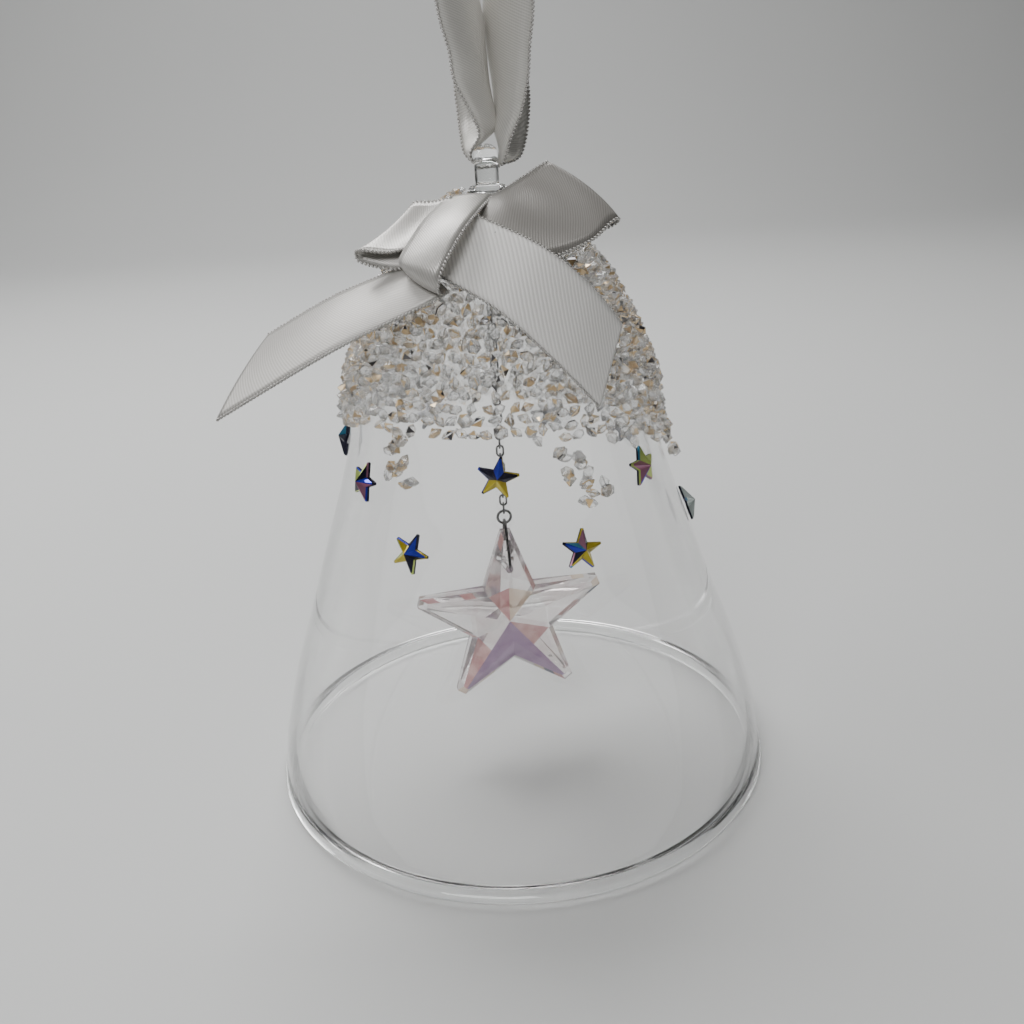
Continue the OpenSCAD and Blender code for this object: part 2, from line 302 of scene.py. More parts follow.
def satin(name, light, dark, rib_pitch, rib_angle, rib_depth, roughness, gloss):
    """Woven satin, its ribs at rib_angle degrees to the ribbon's run.

    The weave lies in the UV map, whose units are millimetres: U along the ribbon, V across it.
    """
    material, nodes, links, shader = new_material(
        name, Roughness=roughness, Metallic=gloss, Sheen_Weight=0.15, Sheen_Roughness=0.4
    )
    uv = nodes.new("ShaderNodeUVMap")
    uv.uv_map = "weave"
    turn = add_node(nodes, "ShaderNodeMapping", Rotation=(0, 0, math.radians(rib_angle)))
    links.new(uv.outputs["UV"], turn.inputs["Vector"])
    ribs = add_node(nodes, "ShaderNodeTexWave", Distortion=0.6, Detail=1.0, Detail_Scale=2.0)
    ribs.inputs["Scale"].default_value = WAVE_SPAN / rib_pitch
    links.new(turn.outputs["Vector"], ribs.inputs["Vector"])
    threads = add_node(nodes, "ShaderNodeTexWave", Distortion=0.8, Detail=1.0)
    threads.inputs["Scale"].default_value = WAVE_SPAN / THREAD_PITCH
    threads.bands_direction = "Y"
    links.new(uv.outputs["UV"], threads.inputs["Vector"])
    both = add_node(nodes, "ShaderNodeMath")
    both.operation = "MULTIPLY_ADD"
    both.inputs[1].default_value = 0.3
    links.new(threads.outputs["Fac"], both.inputs[0])
    links.new(ribs.outputs["Fac"], both.inputs[2])
    weave = both.outputs["Value"]
    links.new(colour_ramp(nodes, links, weave, [(0.1, dark), (0.9, light)]), shader.inputs["Base Color"])
    add_bump(nodes, links, shader, weave, 0.8, rib_depth)
    return material


GLASS = blown_glass("blown_glass", 1.5, (0.975, 0.985, 0.982), (0.99, 0.995, 0.992))
THIN_GLASS = blown_glass("thin_blown_glass", 1.34, (0.993, 0.997, 0.996), (1.0, 1.0, 1.0), thin=True)
ADHESIVE = clear_adhesive()
CLEAR = cut_crystal(
    "clear_crystal", (0.97, 0.97, 0.965), (1.0, 1.0, 1.0), Transmission_Weight=0.93, Alpha=0.75
)
CHAMPAGNE = cut_crystal(
    "champagne_facet", (0.93, 0.8, 0.62), (1.0, 0.93, 0.82), Transmission_Weight=0.8, Alpha=0.85
)
AMBER = cut_crystal("amber_facet", (0.8, 0.56, 0.28), (0.95, 0.76, 0.5), Metallic=0.3)
SMOKE = cut_crystal("smoke_facet", (0.05, 0.05, 0.06), (0.16, 0.15, 0.15), Metallic=0.5)
GUNMETAL = gunmetal()
SATIN = satin("satin_face", (0.54, 0.525, 0.5), (0.42, 0.405, 0.38), 0.28, 33, 0.018, 0.36, 0.42)
# Painted light: a lighter copy of the satin face for the hanging strands, standing in for the light that
# falls on them
LIT_SATIN = satin("satin_painted_light", (0.74, 0.725, 0.685), (0.58, 0.565, 0.53), 0.28, 33, 0.018, 0.36, 0.42)
# Painted shade: a darker copy of the satin face for the right loop, standing in for the shade it lies in
SHADED = satin("satin_painted_shade", (0.3, 0.285, 0.265), (0.22, 0.21, 0.195), 0.28, 33, 0.018, 0.4, 0.25)
RIBBED = satin("ribbed_back", (0.94, 0.925, 0.895), (0.74, 0.72, 0.69), 0.54, -42, 0.035, 0.5, 0.0)
PICOT = satin("picot_edge", (0.66, 0.65, 0.62), (0.22, 0.2, 0.19), 0.3, 0, 0.03, 0.45, 0.2)

# ---------------------------------------------------------------- the bell's wall

WALL_LINE = smooth_line([Vector((r, z, 0)) for r, z in WALL_POINTS], 6)


def wall_normal(i):
    before, after = WALL_LINE[max(i - 1, 0)], WALL_LINE[min(i + 1, len(WALL_LINE) - 1)]
    along = (after - before).normalized()
    return Vector((along.y, -along.x, 0))


def wall_at(z):
    """The wall's outer radius at a height, and the angle in degrees by which it leans in."""
    for low, high in zip(WALL_LINE, WALL_LINE[1:]):
        if low.y <= z <= high.y:
            t = (z - low.y) / (high.y - low.y)
            return low.x + t * (high.x - low.x), math.atan2(low.x - high.x, high.y - low.y)
    return WALL_LINE[-1].x, math.radians(60)


def on_wall(z, azimuth, gap=0.0):
    """A frame on the wall's outside: +Z out of the wall, +X down it. Azimuth 0 is the front."""
    r, lean = wall_at(z)
    turn = Matrix.Rotation(math.radians(azimuth - 90), 4, "Z")
    tilt = Matrix.Rotation(math.pi / 2 - lean, 4, "Y")
    return turn @ Matrix.Translation((r, 0, z)) @ tilt @ Matrix.Translation((0, 0, gap))


def make_bell():
    """The wall swells softly into the fire-polished bead that the bell stands on."""
    bead_x = MOUTH_R - BEAD_R
    bead_z = BEAD_R - FOOT_CUT
    outer, inner = [], []
    for step in range(0, 9):
        z = bead_z + SWELL_H * step / 9
        swell = 0.5 + 0.5 * math.cos(math.pi * step / 9)
        half = WALL / 2 + (BEAD_R - WALL / 2) * swell
        middle = bead_x if z < WALL_POINTS[0][1] else wall_at(z)[0] - WALL / 2
        outer.append((middle + half, z))
        inner.append((middle - half, z))
    for i, p in enumerate(WALL_LINE):
        q = p - WALL * wall_normal(i)
        if p.y > bead_z + SWELL_H:
            outer.append((p.x, p.y))
        if q.y > bead_z + SWELL_H:
            inner.append((q.x, q.y))
    outer += [(1.5, CROWN_Z), (0, CROWN_Z)]
    inner += [(inner[-1][0] / 2, inner[-1][1]), (0, inner[-1][1])]
    bead = []
    for angle in range(170, 9, -10):
        a = math.radians(angle)
        bead.append((bead_x + BEAD_R * math.cos(a), max(0, bead_z - BEAD_R * math.sin(a))))

    def ripple(angle, z):
        fade = min(1, z / 12)
        return fade * 0.07 * (math.sin(3 * angle + z / 9) + 0.6 * math.sin(5 * angle - z / 14 + 1))

    points, faces = revolve(outer + inner[::-1] + bead, 192, ripple)
    # The bead is thick enough to bend what is seen through it
    thick = [int(max(points[i][2] for i in face) < bead_z + 0.7 * SWELL_H) for face in faces]
    bell = new_piece("bell_glass", points, faces, [THIN_GLASS, GLASS], thick)
    outward_normals(bell)
    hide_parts("glass_bell")
    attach(bell, "bell")


make_bell()

# ---------------------------------------------------------------- glass fittings: collar, eye and hook

COLLAR = (2.75, 1.6)
EYE_R = 2.1
EYE_ROD = (1.1, 1.6)
EYE_ARCH_Z = CROWN_Z + COLLAR[1] + 2
HOOK_R = 1.55
HOOK_ROD_R = 0.55
HOOK_WIRE_Z = 80.5
HOOK_PAD_Z = CROWN_Z - 1.15


def remeshed(piece, voxel, smoothing):
    """Melts a piece's overlapping solids into one soft skin."""
    melt = piece.modifiers.new("melt", "REMESH")
    melt.mode, melt.voxel_size = "VOXEL", voxel * MM
    melt.use_smooth_shade = True
    soften = piece.modifiers.new("soften", "SMOOTH")
    soften.factor, soften.iterations = 0.5, smoothing
    bpy.context.view_layer.objects.active = piece
    for modifier in ("melt", "soften"):
        bpy.ops.object.modifier_apply(modifier=modifier)
    piece.data.polygons.foreach_set("use_smooth", [True] * len(piece.data.polygons))


def make_eye():
    """The collar and the eye are one pull of hot glass, so they are melted together."""
    shape = Shape()
    r, h = COLLAR
    lip = 0.8
    rim = [(r - lip + lip * math.cos(a), CROWN_Z + h / 2 * (1 + math.sin(a))) for a in around(-90, 91, 15)]
    shape.add(*revolve([(0, CROWN_Z)] + rim + [(0, CROWN_Z + h)], 48))
    arch_z = EYE_ARCH_Z
    loop = [(0, EYE_R, CROWN_Z + 0.6)]
    loop += [(0, EYE_R * math.cos(a), arch_z + EYE_R * math.sin(a)) for a in around(0, 181, 12)]
    loop += [(0, -EYE_R, CROWN_Z + 0.6)]
    points, faces = tube(loop, EYE_ROD[0], 20)
    shape.add([Vector((p.x * EYE_ROD[1] / EYE_ROD[0], p.y, p.z)) for p in points], faces)
    eye = shape.piece("glass_eye", [GLASS], smooth=True)
    remeshed(eye, 0.16, 4)
    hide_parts("crown_collar", "hanging_eye")
    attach(eye, "bell")


def make_hook():
    shape = Shape()
    arch_z = HOOK_WIRE_Z + HOOK_R
    crown = HOOK_PAD_Z
    line = [(CHAIN_X + HOOK_R, 0, crown)]
    line += [(CHAIN_X + HOOK_R * math.cos(a), 0, arch_z - HOOK_R * math.sin(a)) for a in around(0, 181, 12)]
    line += [(CHAIN_X - HOOK_R, 0, crown)]
    shape.add(*tube(line, HOOK_ROD_R, 16))
    pad = [(0, crown - 0.5), (1.9, crown - 0.5), (2.3, crown - 0.2), (2.2, crown), (0, crown)]
    shape.add(*revolve(pad, 48))
    hook = shape.piece("glass_hook", [GLASS], smooth=True)
    remeshed(hook, 0.14, 3)
    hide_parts("inner_hook")
    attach(hook, "bell")


make_eye()
make_hook()

# ---------------------------------------------------------------- adhesive and crystals

BED_BOTTOM_Z = 59
BED_T = 0.2
BED_HIDDEN = 1.4
STONE_R = 0.98
STONE_PITCH = 1.74
# Between rows of stones, as a share of their pitch along a row
ROW_SHARE = 0.87
# Stones above this height belong to the crown
CROWN_STONES_Z = 76


def make_bed():
    """A thin film whose lower edge stays hidden behind the stones of the fringe."""
    rows, segments = 24, 96
    points, faces = [], []
    for side in (0.02, BED_T):
        for k in range(segments):
            azimuth = 360 * k / segments
            low = fringe_z(azimuth) + BED_HIDDEN
            for i in range(rows + 1):
                z = low + (CROWN_Z - 0.6 - low) * i / rows
                points.append(on_wall(z, azimuth, side).translation)
    layer = segments * (rows + 1)
    for k in range(segments):
        a, b = k * (rows + 1), (k + 1) % segments * (rows + 1)
        for i in range(rows):
            quad = [a + i, b + i, b + i + 1, a + i + 1]
            faces += [quad, [layer + n for n in quad[::-1]]]
        for i in (0, rows):
            faces.append([a + i, b + i, layer + b + i, layer + a + i])
    bed = new_piece("crystal_glue", points, faces, [ADHESIVE])
    outward_normals(bed)
    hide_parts("adhesive_bed")
    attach(bed, "bell")


def fringe_z(azimuth):
    """The height at which the covering ends, lower at the back and the right."""
    a = math.radians(azimuth)
    return 54.9 + 4.4 * math.cos(a) - 2.2 * math.sin(a)


def stone(radius):
    """A cut stone: table, crown, girdle and pointed pavilion, six facets round."""
    sides = 6
    table, girdle, low = 0.52 * radius, 0.16 * radius, 0.82 * radius
    high = 0.46 * radius
    points, faces = [], []
    for r, z, shift in ((table, high, 0.5), (radius, girdle / 2, 0), (radius, -girdle / 2, 0)):
        for k in range(sides):
            a = 2 * math.pi * (k + shift) / sides
            points.append(Vector((r * math.cos(a), r * math.sin(a), z)))
    points.append(Vector((0, 0, -low)))
    faces.append(list(range(sides)))
    for k in range(sides):
        j = (k + 1) % sides
        faces.append([k, sides + j, j])
        faces.append([k, sides + k, sides + j])
        faces.append([sides + k, 2 * sides + k, 2 * sides + j, sides + j])
        faces.append([2 * sides + k, 3 * sides, 2 * sides + j])
    return points, faces


def facet_kind(rng):
    """Most facets are clear; some flash champagne, amber or dark."""
    roll = rng.random()
    return 0 if roll < 0.7 else 1 if roll < 0.86 else 2 if roll < 0.97 else 3


def set_stone(shape, rng, place, radius, tumble):
    """Adds a stone turned at random, by up to tumble radians about its two level axes."""
    tip_x, tip_y, spin = rng.uniform(-tumble, tumble), rng.uniform(-tumble, tumble), rng.uniform(0, 6.3)
    turn = Euler([tip_x, tip_y, spin]).to_matrix().to_4x4()
    points, faces = stone(radius)
    points = [place @ (turn @ p) for p in points]
    lively = rng.random() < 0.7
    kinds = [facet_kind(rng) if lively else 0 for _ in faces]
    shape.add(points, faces, kinds)


def slope_heights(pitch, low, high):
    """Heights spaced evenly along the wall's slope."""
    heights, run = [], 0
    for a, b in zip(WALL_LINE, WALL_LINE[1:]):
        step = (b - a).length
        while run <= step:
            z = a.y + (b.y - a.y) * run / step
            if low < z < high:
                heights.append(z)
            run += pitch
        run -= step
    return heights


# Where small heaps of stones run down below the edge: [height, azimuth in degrees]
DRIPS = [
    (59.2, -36), (57.2, -40), (56.2, -34), (54.6, -39), (53.4, -33), (56.6, 19), (55.6, 26), (54.2, 20),
    (53, 27), (51.6, 33), (50.6, 26), (51.6, 87), (50.6, 94), (49, 88),
]


def make_crystals():
    rng = random.Random(SEED)
    crown, shoulder, fringe = Shape(), Shape(), Shape()
    for row, z in enumerate(slope_heights(STONE_PITCH * ROW_SHARE, 48, CROWN_Z - 0.5)):
        r, _ = wall_at(z)
        count = int(2 * math.pi * (r + 1) / STONE_PITCH)
        for i in range(count):
            azimuth = (i + row % 2 / 2 + rng.uniform(-0.22, 0.22)) * 360 / count
            if z < fringe_z(azimuth) + rng.uniform(-0.7, 0.7):
                continue
            shape = crown if z > CROWN_STONES_Z else shoulder if z > BED_BOTTOM_Z else fringe
            gap = (BED_T if z > BED_BOTTOM_Z else 0.0) + STONE_R * 0.95 + rng.uniform(-0.2, 0.3)
            place = on_wall(z + rng.uniform(-0.2, 0.2), azimuth, gap)
            set_stone(shape, rng, place, STONE_R * rng.uniform(0.9, 1.06), 1.9)
    for z, azimuth in DRIPS:
        for _ in range(3):
            height, side = z + rng.uniform(-0.8, 0.8), azimuth + rng.uniform(-1.8, 1.8)
            place = on_wall(height, side, STONE_R * 0.8 + rng.uniform(0, 0.8))
            set_stone(fringe, rng, place, STONE_R * rng.uniform(0.95, 1.08), 3)
    groups = {"crown_crystals": crown, "shoulder_crystals": shoulder, "fringe_crystals": fringe}
    for name, shape in groups.items():
        piece = shape.piece("cut_" + name, [CLEAR, CHAMPAGNE, AMBER, SMOKE])
        outward_normals(piece)
        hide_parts(name)
        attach(piece, "bell")


make_bed()
make_crystals()

# ---------------------------------------------------------------- small stars on the skirt

SMALL_STAR_R = 2.85
# Height, azimuth from the front, turn, and the colour of each arm's two facets
N, B, T, Y, L, P, S = range(7)
STAR_COATS = [
    ("night", (0.012, 0.012, 0.03)), ("blue", (0.02, 0.035, 0.42)), ("teal", (0.05, 0.22, 0.36)),
    ("olive", (0.42, 0.34, 0.02)), ("lime", (0.46, 0.56, 0.16)), ("plum", (0.3, 0.13, 0.2)),
    ("silver", (0.6, 0.66, 0.64)),
]
SKIRT_STARS = [
    (53.5, -92, 15, (T, T, N, N, N, N, N, N, B, T)), (51.6, -55.6, 10, (L, N, B, P, P, N, N, B, L, L)),
    (54.5, -2.4, 12, (B, B, N, N, Y, Y, Y, Y, N, N)), (51.7, 53.2, 3, (L, L, L, T, P, L, B, P, P, P)),
    (40, 91, 8, (S, S, T, S, L, S, N, S, S, S)), (44.5, -31, 20, (N, B, B, N, N, Y, Y, L, L, Y)),
    (44.4, 21.6, 11, (P, N, Y, Y, Y, Y, Y, N, B, T)), (47, 128, 5, (B, N, Y, Y, T, L, N, N, B, P)),
    (48, 162, 14, (N, N, B, T, Y, Y, L, N, N, B)), (50, -150, 9, (T, L, N, N, B, Y, Y, P, N, T)),
]


def star_outline(r, notch, blunt):
    """Fifteen points round a star, clockwise as seen from the front: each arm's blunt end, then a notch."""
    outline = []
    for arm in range(5):
        a = math.radians(72 * arm)
        out, along = Vector((math.sin(a), math.cos(a))), Vector((math.cos(a), -math.sin(a)))
        b = math.radians(72 * arm + 36)
        inward = Vector((math.sin(b), math.cos(b)))
        outline += [r * out - blunt * along, r * out + blunt * along, r * notch * inward]
    return outline


def make_skirt_stars():
    coats = [
        cut_crystal(f"coat_{name}", colour, tuple(min(1, c * 1.35 + 0.01) for c in colour), Metallic=0.6)
        for name, colour in STAR_COATS
    ]
    shape = Shape()
    outline = star_outline(SMALL_STAR_R * 0.97, 0.44, 0.16)
    bevel = star_outline(SMALL_STAR_R * 0.88, 0.44, 0.12)
    for z, azimuth, turn, arms in SKIRT_STARS:
        place = on_wall(z, azimuth, 0.1) @ Matrix.Rotation(math.radians(-turn), 4, "Z")
        levels = ((outline, 0), (outline, 0.32), (bevel, 0.55))
        points = [Vector((-p.y, p.x, h)) for ring, h in levels for p in ring]
        points += [Vector((0, 0, 1.7))]
        faces, kinds = [list(range(15))[::-1]], [N]
        for i in range(15):
            j = (i + 1) % 15
            arm, part = divmod(i, 3)
            # The blunt end takes its arm's first colour; the facets either side of a notch meet there
            kind = arms[2 * arm] if part == 0 else arms[(2 * arm + part) % 10]
            faces += [[i, j, 15 + j, 15 + i], [15 + i, 15 + j, 30 + j, 30 + i], [30 + i, 30 + j, 45]]
            kinds += [N, arms[(2 * arm + part + 3) % 10], kind]
        shape.add([place @ p for p in points], faces, kinds)
    stars = shape.piece("coated_stars", coats)
    outward_normals(stars)
    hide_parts("skirt_stars")
    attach(stars, "bell")


make_skirt_stars()

# ---------------------------------------------------------------- chain

LINKS = 30
UPPER_LINKS = 14
LINK_R = 0.475
LINK_WIRE_R = 0.15
RING_WIRE_R = 0.2
PLAY = 0.04
TOP_RING_R = 1.15
TOP_RING_Z = HOOK_WIRE_Z + HOOK_ROD_R + RING_WIRE_R + PLAY - TOP_RING_R
JUMP_RING_R = 1.0
JUMP_RING_Z = 39.8
CHAIN_TOP_Z = TOP_RING_Z - TOP_RING_R + RING_WIRE_R + LINK_WIRE_R + PLAY
CHAIN_BOTTOM_Z = JUMP_RING_Z + JUMP_RING_R - RING_WIRE_R - LINK_WIRE_R - PLAY
LINK_HANG = 2 * LINK_WIRE_R + PLAY
LINK_PITCH = (CHAIN_TOP_Z - CHAIN_BOTTOM_Z - LINK_HANG) / LINKS
LINK_STRAIGHT = (LINK_PITCH + LINK_HANG) / 2 - LINK_R


def half_ring(r, z, up):
    """Thirteen points of a half circle in the XZ plane."""
    sign = 1 if up else -1
    return [(sign * r * math.cos(a), 0, z + sign * r * math.sin(a)) for a in around(0, 181, 15)]


def hang(points, z=0.0, turn=0.0):
    """Moves points of a piece drawn at the origin to the chain's line."""
    place = Matrix.Translation((CHAIN_X, 0, z)) @ Matrix.Rotation(math.radians(turn), 4, "Z")
    return [place @ Vector(p) for p in points]


def make_chain(name, node, body, first, last):
    shape = Shape()
    low = -LINK_R - 2 * LINK_STRAIGHT
    outline = half_ring(LINK_R, -LINK_R, True) + half_ring(LINK_R, low, False)
    points, faces = tube(outline, LINK_WIRE_R, 10, ring=True)
    for i in range(first, last):
        shape.add(hang(points, CHAIN_TOP_Z - i * LINK_PITCH, i % 2 * 90), faces)
    chain = shape.piece(name, [GUNMETAL], smooth=True)
    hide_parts(node)
    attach(chain, body)


def make_ring(name, node, r, z, turn):
    outline = [(r * math.cos(2 * math.pi * k / 40), 0, r * math.sin(2 * math.pi * k / 40)) for k in range(40)]
    points, faces = tube(outline, RING_WIRE_R, 14, ring=True)
    ring = new_piece(name, hang(points, z, turn), faces, [GUNMETAL])
    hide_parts(node)
    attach(ring, node)


make_ring("hook_ring", "top_ring", TOP_RING_R, TOP_RING_Z, 90)
make_chain("chain_upper_links", "upper_chain", "upper_chain", 0, UPPER_LINKS)
make_chain("chain_lower_links", "lower_chain", "lower_chain", UPPER_LINKS, LINKS)
make_ring("clapper_ring", "jump_ring", JUMP_RING_R, JUMP_RING_Z, STAR_TURN)

# ---------------------------------------------------------------- bail and star clapper

BAIL_WIRE_R = 0.22
BAIL_R = 0.62
BAIL_Z = JUMP_RING_Z - JUMP_RING_R + RING_WIRE_R + BAIL_WIRE_R + PLAY - BAIL_R
PRONG = (2.75, 32.6)
PRONG_GAP = 0.5
STAR_R = 14.7
STAR_TIP_Z = 37.7
STAR_HALF = 4.2
HOLE_R = 0.65
HOLE_Z = PRONG[1] - (HOLE_R - BAIL_WIRE_R - PLAY)


def make_bail():
    """A wire triangle with rounded corners, its two prongs turned in through the star's hole."""
    y, z = PRONG
    corner = 0.35
    line = [(PRONG_GAP, 0, z), (y - 2 * corner, 0, z), (y - 0.4 * corner, 0, z + 0.1 * corner)]
    line += [(y + 0.05, 0, z + corner), (y - 0.25, 0, z + 3 * corner)]
    line += half_ring(BAIL_R, BAIL_Z, True)
    line += [(-x, 0, h) for x, _, h in line[4::-1]]
    points, faces = tube(smooth_line(line, 3), BAIL_WIRE_R, 12)
    bail = new_piece("wire_bail", hang(points, 0, STAR_TURN + 90), faces, [GUNMETAL])
    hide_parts("pinch_bail")
    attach(bail, "bail")


# Front facets of the clapper's arms, from the top arm clockwise: the half before the ridge and the half
# after it, each as its kind near the middle and its kind near the tip
CLEAR_CUT, BLUSH, SALMON, LILAC, PEACH, SMOKY = range(6)
ARM_FACETS = [
    ((SALMON, CLEAR_CUT), (PEACH, CLEAR_CUT)), ((CLEAR_CUT, BLUSH), (BLUSH, CLEAR_CUT)),
    ((SALMON, BLUSH), (LILAC, LILAC)), ((LILAC, LILAC), (BLUSH, SALMON)),
    ((BLUSH, CLEAR_CUT), (CLEAR_CUT, BLUSH)),
]
BEVEL_STEPS = 5
# How far from the middle, and how thick, the facets change on an arm's ridge and end on it
RIDGE_SPLIT = 0.42
RIDGE_END_HALF = 1.5
# The front point stands a little off the middle
STAR_CENTRE = (-0.8, 1.4)


def clapper_coats():
    return [
        cut_crystal("clapper_" + name, low, high, Transmission_Weight=clear)
        for name, low, high, clear in (
            ("clear", (0.97, 0.95, 0.95), (1, 0.985, 0.98), 0.9),
            ("blush", (0.95, 0.86, 0.86), (0.98, 0.92, 0.9), 0.8),
            ("salmon", (0.55, 0.25, 0.25), (0.75, 0.45, 0.42), 0.35),
            ("lilac", (0.34, 0.22, 0.37), (0.44, 0.3, 0.47), 0.2),
            ("peach", (0.86, 0.66, 0.5), (0.93, 0.78, 0.6), 0.5),
            ("smoky", (0.06, 0.07, 0.1), (0.14, 0.15, 0.2), 0.1),
        )
    ]


def make_clapper():
    """A thick cut star: side walls, a bevel of small facets all round, and a ridge along every arm."""
    rng = random.Random(SEED + 3)
    girdle = star_outline(STAR_R, 0.455, 0.75)
    bevel = star_outline(STAR_R - 1.25, 0.435, 0.5)
    centre_z = STAR_TIP_Z - STAR_R
    points, faces, kinds = [], [], []

    def corner(flat, height):
        points.append(Vector((flat.x, height, flat.y + centre_z)))
        return len(points) - 1

    def rim_kind():
        roll = rng.random()
        for kind, limit in ((CLEAR_CUT, 0.5), (BLUSH, 0.74), (SALMON, 0.87), (PEACH, 0.97)):
            if roll < limit:
                return kind
        return SMOKY

    def girdle_half(i):
        return 1.0 if i % 3 == 2 else 0.6

    rims = {}
    for side in (-1, 1):
        centre = corner(Vector(STAR_CENTRE) if side < 0 else Vector((0, 0)), side * STAR_HALF)
        outer, inner = [], []
        for i in range(15):
            for step in range(BEVEL_STEPS if i % 3 else 1):
                t = step / (BEVEL_STEPS if i % 3 else 1)
                j = (i + 1) % 15
                half = girdle_half(i) + (girdle_half(j) - girdle_half(i)) * t
                outer.append((i, corner(girdle[i].lerp(girdle[j], t), side * half)))
                depth = [1.9 if n % 3 == 2 else 1.15 for n in (i, j)]
                half = depth[0] + (depth[1] - depth[0]) * t
                inner.append(corner(bevel[i].lerp(bevel[j], t), side * half))
        count = len(outer)
        rims[side] = [index for _, index in outer]
        for n in range(count):
            m = (n + 1) % count
            faces.append([outer[n][1], outer[m][1], inner[m], inner[n]])
            kinds.append(rim_kind())
        starts = [[n for n in range(count) if outer[n][0] == i][0] for i in range(15)]
        for arm in range(5):
            tip_a, tip_b, notch = (starts[3 * arm + n] for n in range(3))
            before = starts[(3 * arm - 1) % 15]
            ridge_end = (points[inner[tip_a]] + points[inner[tip_b]]) / 2
            ridge_end.y = side * RIDGE_END_HALF
            points.append(ridge_end)
            end = len(points) - 1
            points.append(points[centre].lerp(ridge_end, RIDGE_SPLIT))
            middle = len(points) - 1
            halves = ARM_FACETS[arm] if side < 0 else ((BLUSH, CLEAR_CUT), (CLEAR_CUT, BLUSH))
            for (near, far), first, last in ((halves[0], before, tip_a), (halves[1], tip_b, notch)):
                span = [inner[(first + k) % count] for k in range((last - first) % count + 1)]
                at_notch = span[0] if first == before else span[-1]
                faces.append([centre, middle, at_notch])
                kinds.append(near)
                for a, b in zip(span, span[1:]):
                    faces.append([middle, a, b])
                    kinds.append(far)
                faces.append([middle, end, span[-1] if first == before else span[0]])
                kinds.append(far)
            faces.append([end, inner[tip_a], inner[tip_b]])
            kinds.append(CLEAR_CUT)
    count = len(rims[1])
    for n in range(count):
        m = (n + 1) % count
        faces.append([rims[-1][n], rims[-1][m], rims[1][m], rims[1][n]])
        kinds.append(rim_kind())
    coats = clapper_coats()
    star = new_piece("cut_star", hang(points, 0, STAR_TURN), faces, coats, kinds, smooth=False)
    outward_normals(star)
    drill_points, drill_faces = tube([(0, y, HOLE_Z) for y in (-6, 6)], HOLE_R, 24)
    drill = new_piece("drill", hang(drill_points, 0, STAR_TURN), drill_faces, [coats[0]])
    hole = star.modifiers.new("hole", "BOOLEAN")
    hole.operation, hole.object, hole.solver = "DIFFERENCE", drill, "EXACT"
    bpy.context.view_layer.objects.active = star
    bpy.ops.object.modifier_apply(modifier="hole")
    bpy.data.objects.remove(drill)
    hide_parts("star_clapper")
    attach(star, "star")


make_bail()
make_clapper()

# ---------------------------------------------------------------- ribbon

RIBBON_T = 0.24
RIBBON_W = 10.5


